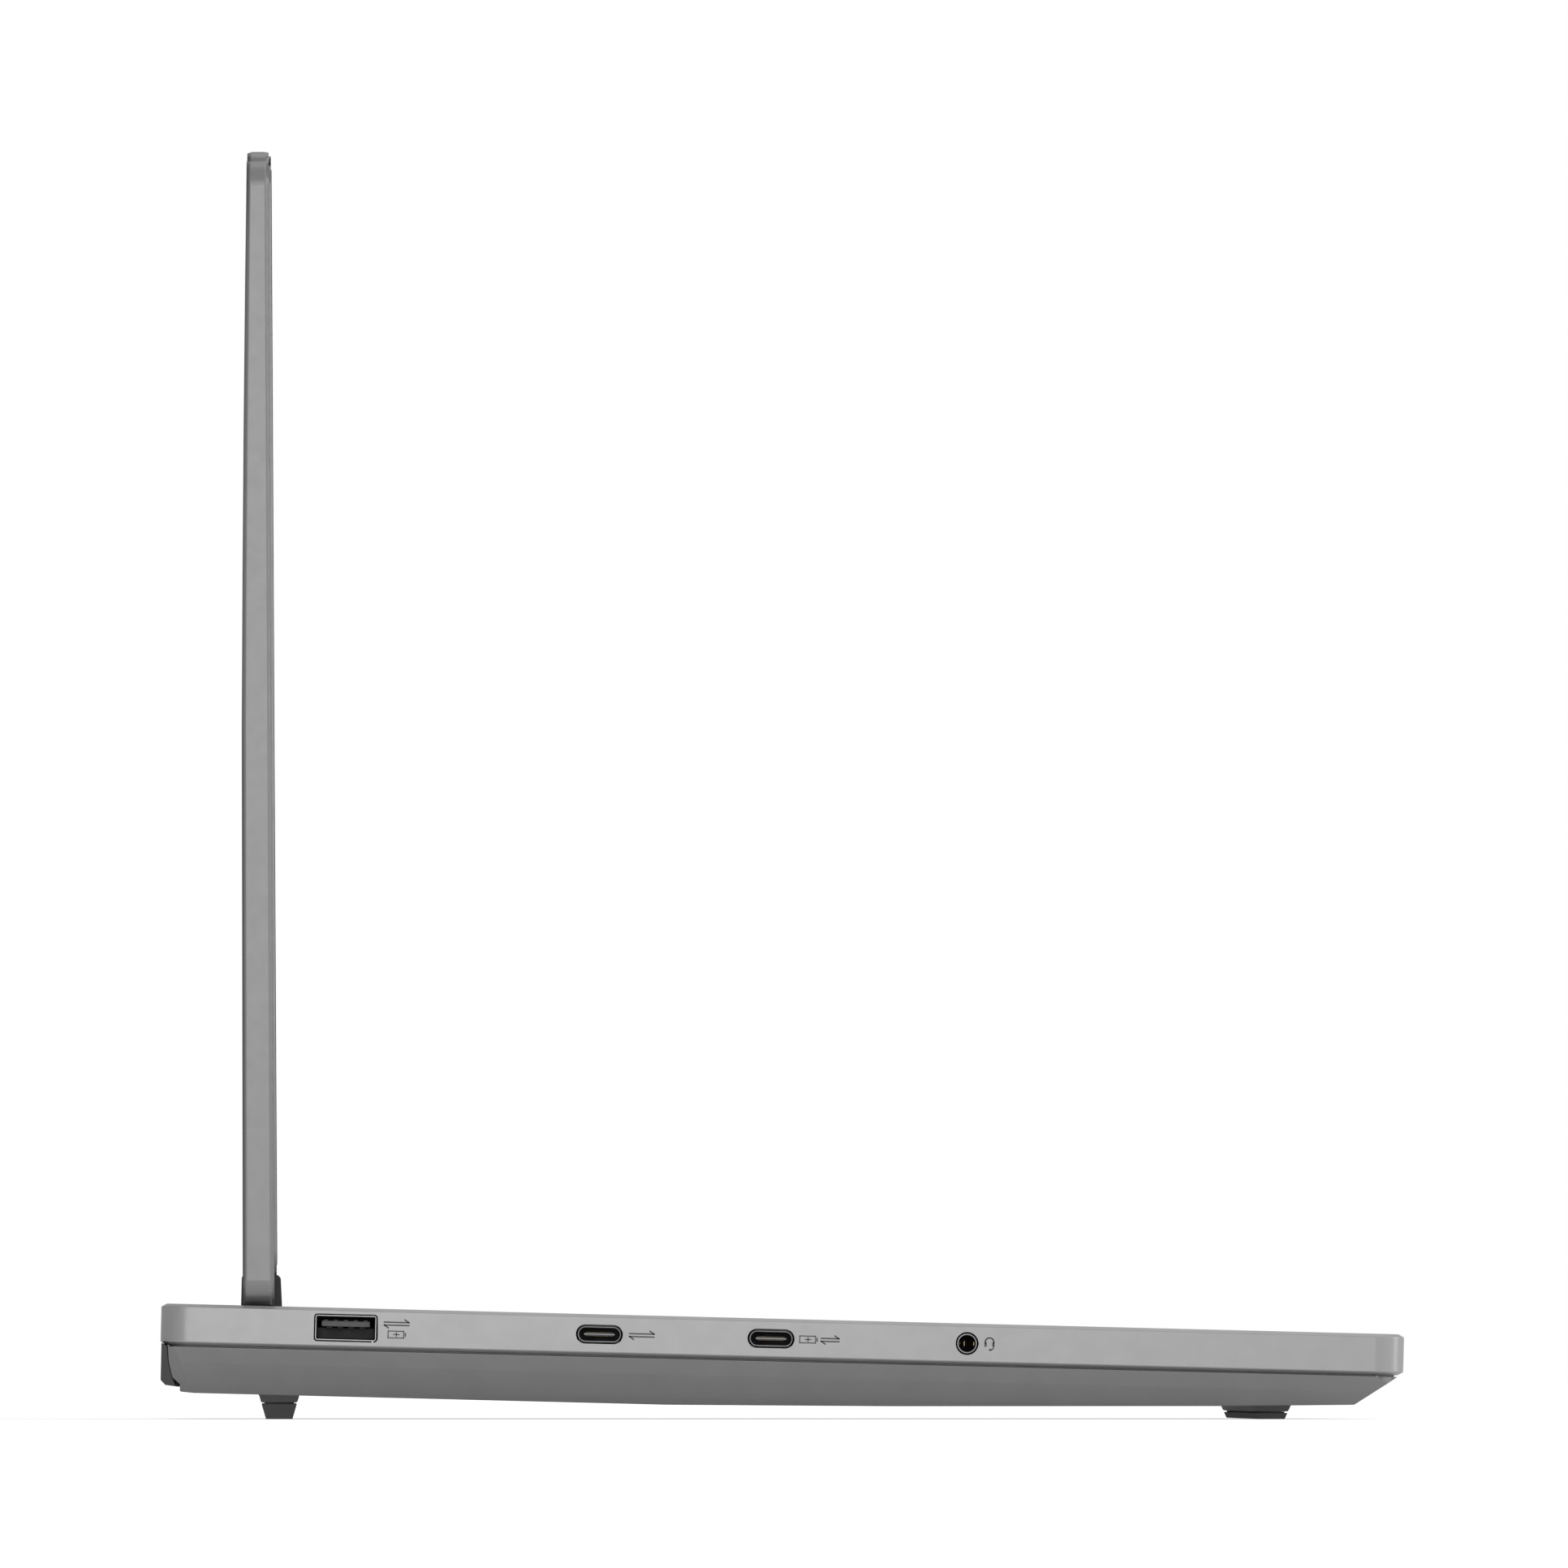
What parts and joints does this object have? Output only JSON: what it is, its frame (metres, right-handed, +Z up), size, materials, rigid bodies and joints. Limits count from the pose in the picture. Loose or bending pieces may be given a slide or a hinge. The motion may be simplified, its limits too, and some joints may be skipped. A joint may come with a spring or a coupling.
{
  "type": "laptop computer",
  "caption": "Open laptop computer on rubber feet: hinged lid with screen and camera tab, full keyboard with number pad, touchpad, side and rear sockets, fans and battery inside.",
  "frame": {"origin": "on the table under the middle of the base", "axes": "+X to the user's right, +Y to the rear, +Z up"},
  "size_m": [0.3446, 0.2551, 0.2632],
  "materials": {
    "shell": "satin anodised light grey",
    "lower_shell": "matt mid grey paint",
    "rear_grille": "matt dark grey",
    "hinge_plastic": "matt grey",
    "screws": "dark plated",
    "keycaps": "matt grey with light legends",
    "dark_plastic": "matt black",
    "bezel": "matt black",
    "screen": "anti-glare, dark when off",
    "socket_steel": "nickel plated",
    "plate_steel": "plain",
    "copper": "bare copper",
    "circuit_board": "solder mask",
    "battery_wrap": "black film",
    "foot_rubber": "matt"
  },
  "bodies": {
    "base": {"upper_case": "shell", "keyboard_frame": "shell", "bottom_cover": "lower_shell", "rear_bezel": "rear_grille", "hinge_cover_left": "hinge_plastic", "hinge_cover_right": "hinge_plastic", "bottom_screw_1": "screws", "bottom_screw_2": "screws", "bottom_screw_3": "screws", "bottom_screw_4": "screws", "bottom_screw_5": "screws", "audio_jack": "dark_plastic", "power_inlet": "dark_plastic", "fan_housing_left": "dark_plastic", "fan_housing_right": "dark_plastic", "speaker_left": "dark_plastic", "speaker_right": "dark_plastic", "usb_a_socket_left": "socket_steel", "usb_a_socket_right": "socket_steel", "usb_c_socket_rear": "socket_steel", "usb_c_socket_front": "socket_steel", "usb_a_socket_rear": "socket_steel", "video_socket": "socket_steel", "keyboard_backplate": "plate_steel", "hinge_bracket_left": "plate_steel", "hinge_bracket_right": "plate_steel", "heat_pipes": "copper", "fin_stack_left": "copper", "fin_stack_right": "copper", "mainboard": "circuit_board", "ssd_module": "circuit_board", "memory_module": "circuit_board", "wireless_card": "circuit_board", "battery_pack": "battery_wrap", "rear_foot": "foot_rubber", "front_foot": "foot_rubber"},
    "function_keys_group": {"function_keys": "keycaps"},
    "number_keys_group": {"number_keys": "keycaps"},
    "upper_letter_keys_group": {"upper_letter_keys": "keycaps"},
    "home_letter_keys_group": {"home_letter_keys": "keycaps"},
    "lower_letter_keys_group": {"lower_letter_keys": "keycaps"},
    "left_modifier_keys_group": {"left_modifier_keys": "keycaps"},
    "space_bar_group": {"space_bar": "keycaps"},
    "right_modifier_keys_group": {"right_modifier_keys": "keycaps"},
    "arrow_keys_group": {"arrow_keys": "keycaps"},
    "numpad_keys_group": {"numpad_keys": "keycaps"},
    "touch_surface": {"touchpad": "shell"},
    "power_key": {"power_button": "shell"},
    "shutter_slider": {"shutter_switch": "dark_plastic"},
    "left_fan": {"fan_rotor_left": "dark_plastic"},
    "right_fan": {"fan_rotor_right": "dark_plastic"},
    "lid": {"lid_back_cover": "shell", "screen_bezel": "bezel", "display_panel": "screen", "webcam_module": "dark_plastic", "antenna_left": "copper", "antenna_right": "copper", "hinge_arm_left": "plate_steel", "hinge_arm_right": "plate_steel"}
  },
  "joints": [
    {"name": "lid_hinge", "type": "hinge", "parent": "base", "child": "lid", "pos_m": [0, 0.10702, 0.02697], "axis": [-1, 0, 0], "range_deg": [-91.7, 88.2]},
    {"name": "function_keys_press", "type": "slide", "parent": "base", "child": "function_keys_group", "axis": [0, 0.025, -0.9997], "range_m": [0, 0.0015], "stiffness_N_per_m": 3000, "springref_m": -0.0008},
    {"name": "number_keys_press", "type": "slide", "parent": "base", "child": "number_keys_group", "axis": [0, 0.025, -0.9997], "range_m": [0, 0.0015], "stiffness_N_per_m": 2800, "springref_m": -0.0008},
    {"name": "upper_letter_keys_press", "type": "slide", "parent": "base", "child": "upper_letter_keys_group", "axis": [0, 0.025, -0.9997], "range_m": [0, 0.0015], "stiffness_N_per_m": 2800, "springref_m": -0.0008},
    {"name": "home_letter_keys_press", "type": "slide", "parent": "base", "child": "home_letter_keys_group", "axis": [0, 0.025, -0.9997], "range_m": [0, 0.0015], "stiffness_N_per_m": 2600, "springref_m": -0.0008},
    {"name": "lower_letter_keys_press", "type": "slide", "parent": "base", "child": "lower_letter_keys_group", "axis": [0, 0.025, -0.9997], "range_m": [0, 0.0015], "stiffness_N_per_m": 2400, "springref_m": -0.0008},
    {"name": "left_modifier_keys_press", "type": "slide", "parent": "base", "child": "left_modifier_keys_group", "axis": [0, 0.025, -0.9997], "range_m": [0, 0.0015], "stiffness_N_per_m": 800, "springref_m": -0.0008},
    {"name": "space_bar_press", "type": "slide", "parent": "base", "child": "space_bar_group", "axis": [0, 0.025, -0.9997], "range_m": [0, 0.0015], "stiffness_N_per_m": 300, "springref_m": -0.0008},
    {"name": "right_modifier_keys_press", "type": "slide", "parent": "base", "child": "right_modifier_keys_group", "axis": [0, 0.025, -0.9997], "range_m": [0, 0.0015], "stiffness_N_per_m": 600, "springref_m": -0.0008},
    {"name": "arrow_keys_press", "type": "slide", "parent": "base", "child": "arrow_keys_group", "axis": [0, 0.025, -0.9997], "range_m": [0, 0.0015], "stiffness_N_per_m": 800, "springref_m": -0.0008},
    {"name": "numpad_keys_press", "type": "slide", "parent": "base", "child": "numpad_keys_group", "axis": [0, 0.025, -0.9997], "range_m": [0, 0.0015], "stiffness_N_per_m": 4200, "springref_m": -0.0008},
    {"name": "touchpad_click", "type": "hinge", "parent": "base", "child": "touch_surface", "pos_m": [-0.031, -0.04107, 0.01873], "axis": [1, 0, 0], "range_deg": [0, 0.35], "stiffness_Nm_per_rad": 12, "springref_deg": -0.29},
    {"name": "power_press", "type": "slide", "parent": "base", "child": "power_key", "axis": [0, 0.025, -0.9997], "range_m": [0, 0.0004], "stiffness_N_per_m": 1200, "springref_m": -0.0005},
    {"name": "shutter_slide", "type": "slide", "parent": "base", "child": "shutter_slider", "axis": [0, 0.9997, 0.025], "range_m": [0, 0.0028]},
    {"name": "left_fan_spin", "type": "hinge", "parent": "base", "child": "left_fan", "pos_m": [-0.106, 0.06815, 0.01125], "axis": [0, -0.025, 0.9997], "continuous": true},
    {"name": "right_fan_spin", "type": "hinge", "parent": "base", "child": "right_fan", "pos_m": [0.106, 0.06815, 0.01125], "axis": [0, -0.025, 0.9997], "continuous": true}
  ]
}
